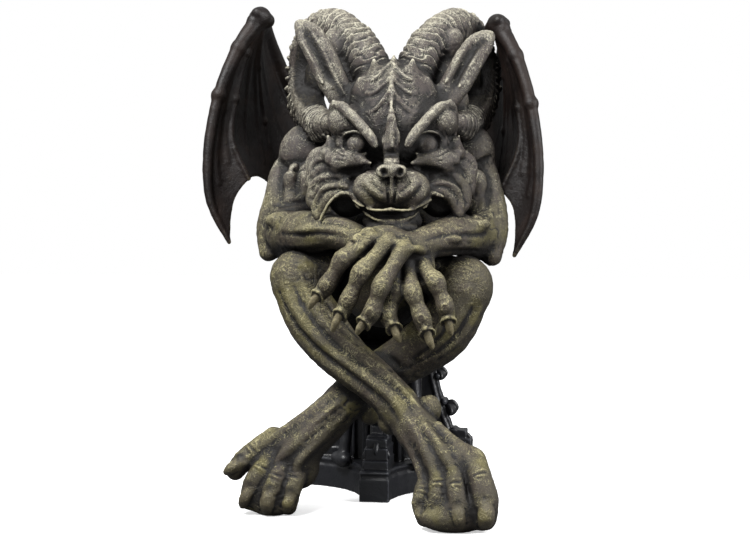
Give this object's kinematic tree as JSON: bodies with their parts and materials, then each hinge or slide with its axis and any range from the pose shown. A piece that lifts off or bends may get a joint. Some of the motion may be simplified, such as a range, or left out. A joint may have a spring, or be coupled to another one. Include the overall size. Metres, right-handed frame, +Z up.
{
  "type": "gargoyle figurine",
  "caption": "Winged, horned gargoyle sitting with folded arms and crossed shins on a Gothic pedestal; a cast and painted table statuette that stands by its own weight.",
  "frame": {"origin": "centre of the pedestal's flat underside", "axes": "+Z up; the gargoyle faces -Y; +X is to the right of someone who looks at its face"},
  "size_m": [0.2282, 0.2336, 0.3367],
  "materials": {
    "antiqued_resin": "painted resin with a dark wash and pale dry-brushed edges",
    "dark_wing_resin": "painted resin, dark umber with paler bones",
    "slate_resin": "painted resin, slate black, half gloss"
  },
  "bodies": {
    "root": {"gargoyle_figure": "antiqued_resin", "left_wing": "dark_wing_resin", "right_wing": "dark_wing_resin", "gothic_pedestal": "slate_resin"}
  },
  "joints": []
}
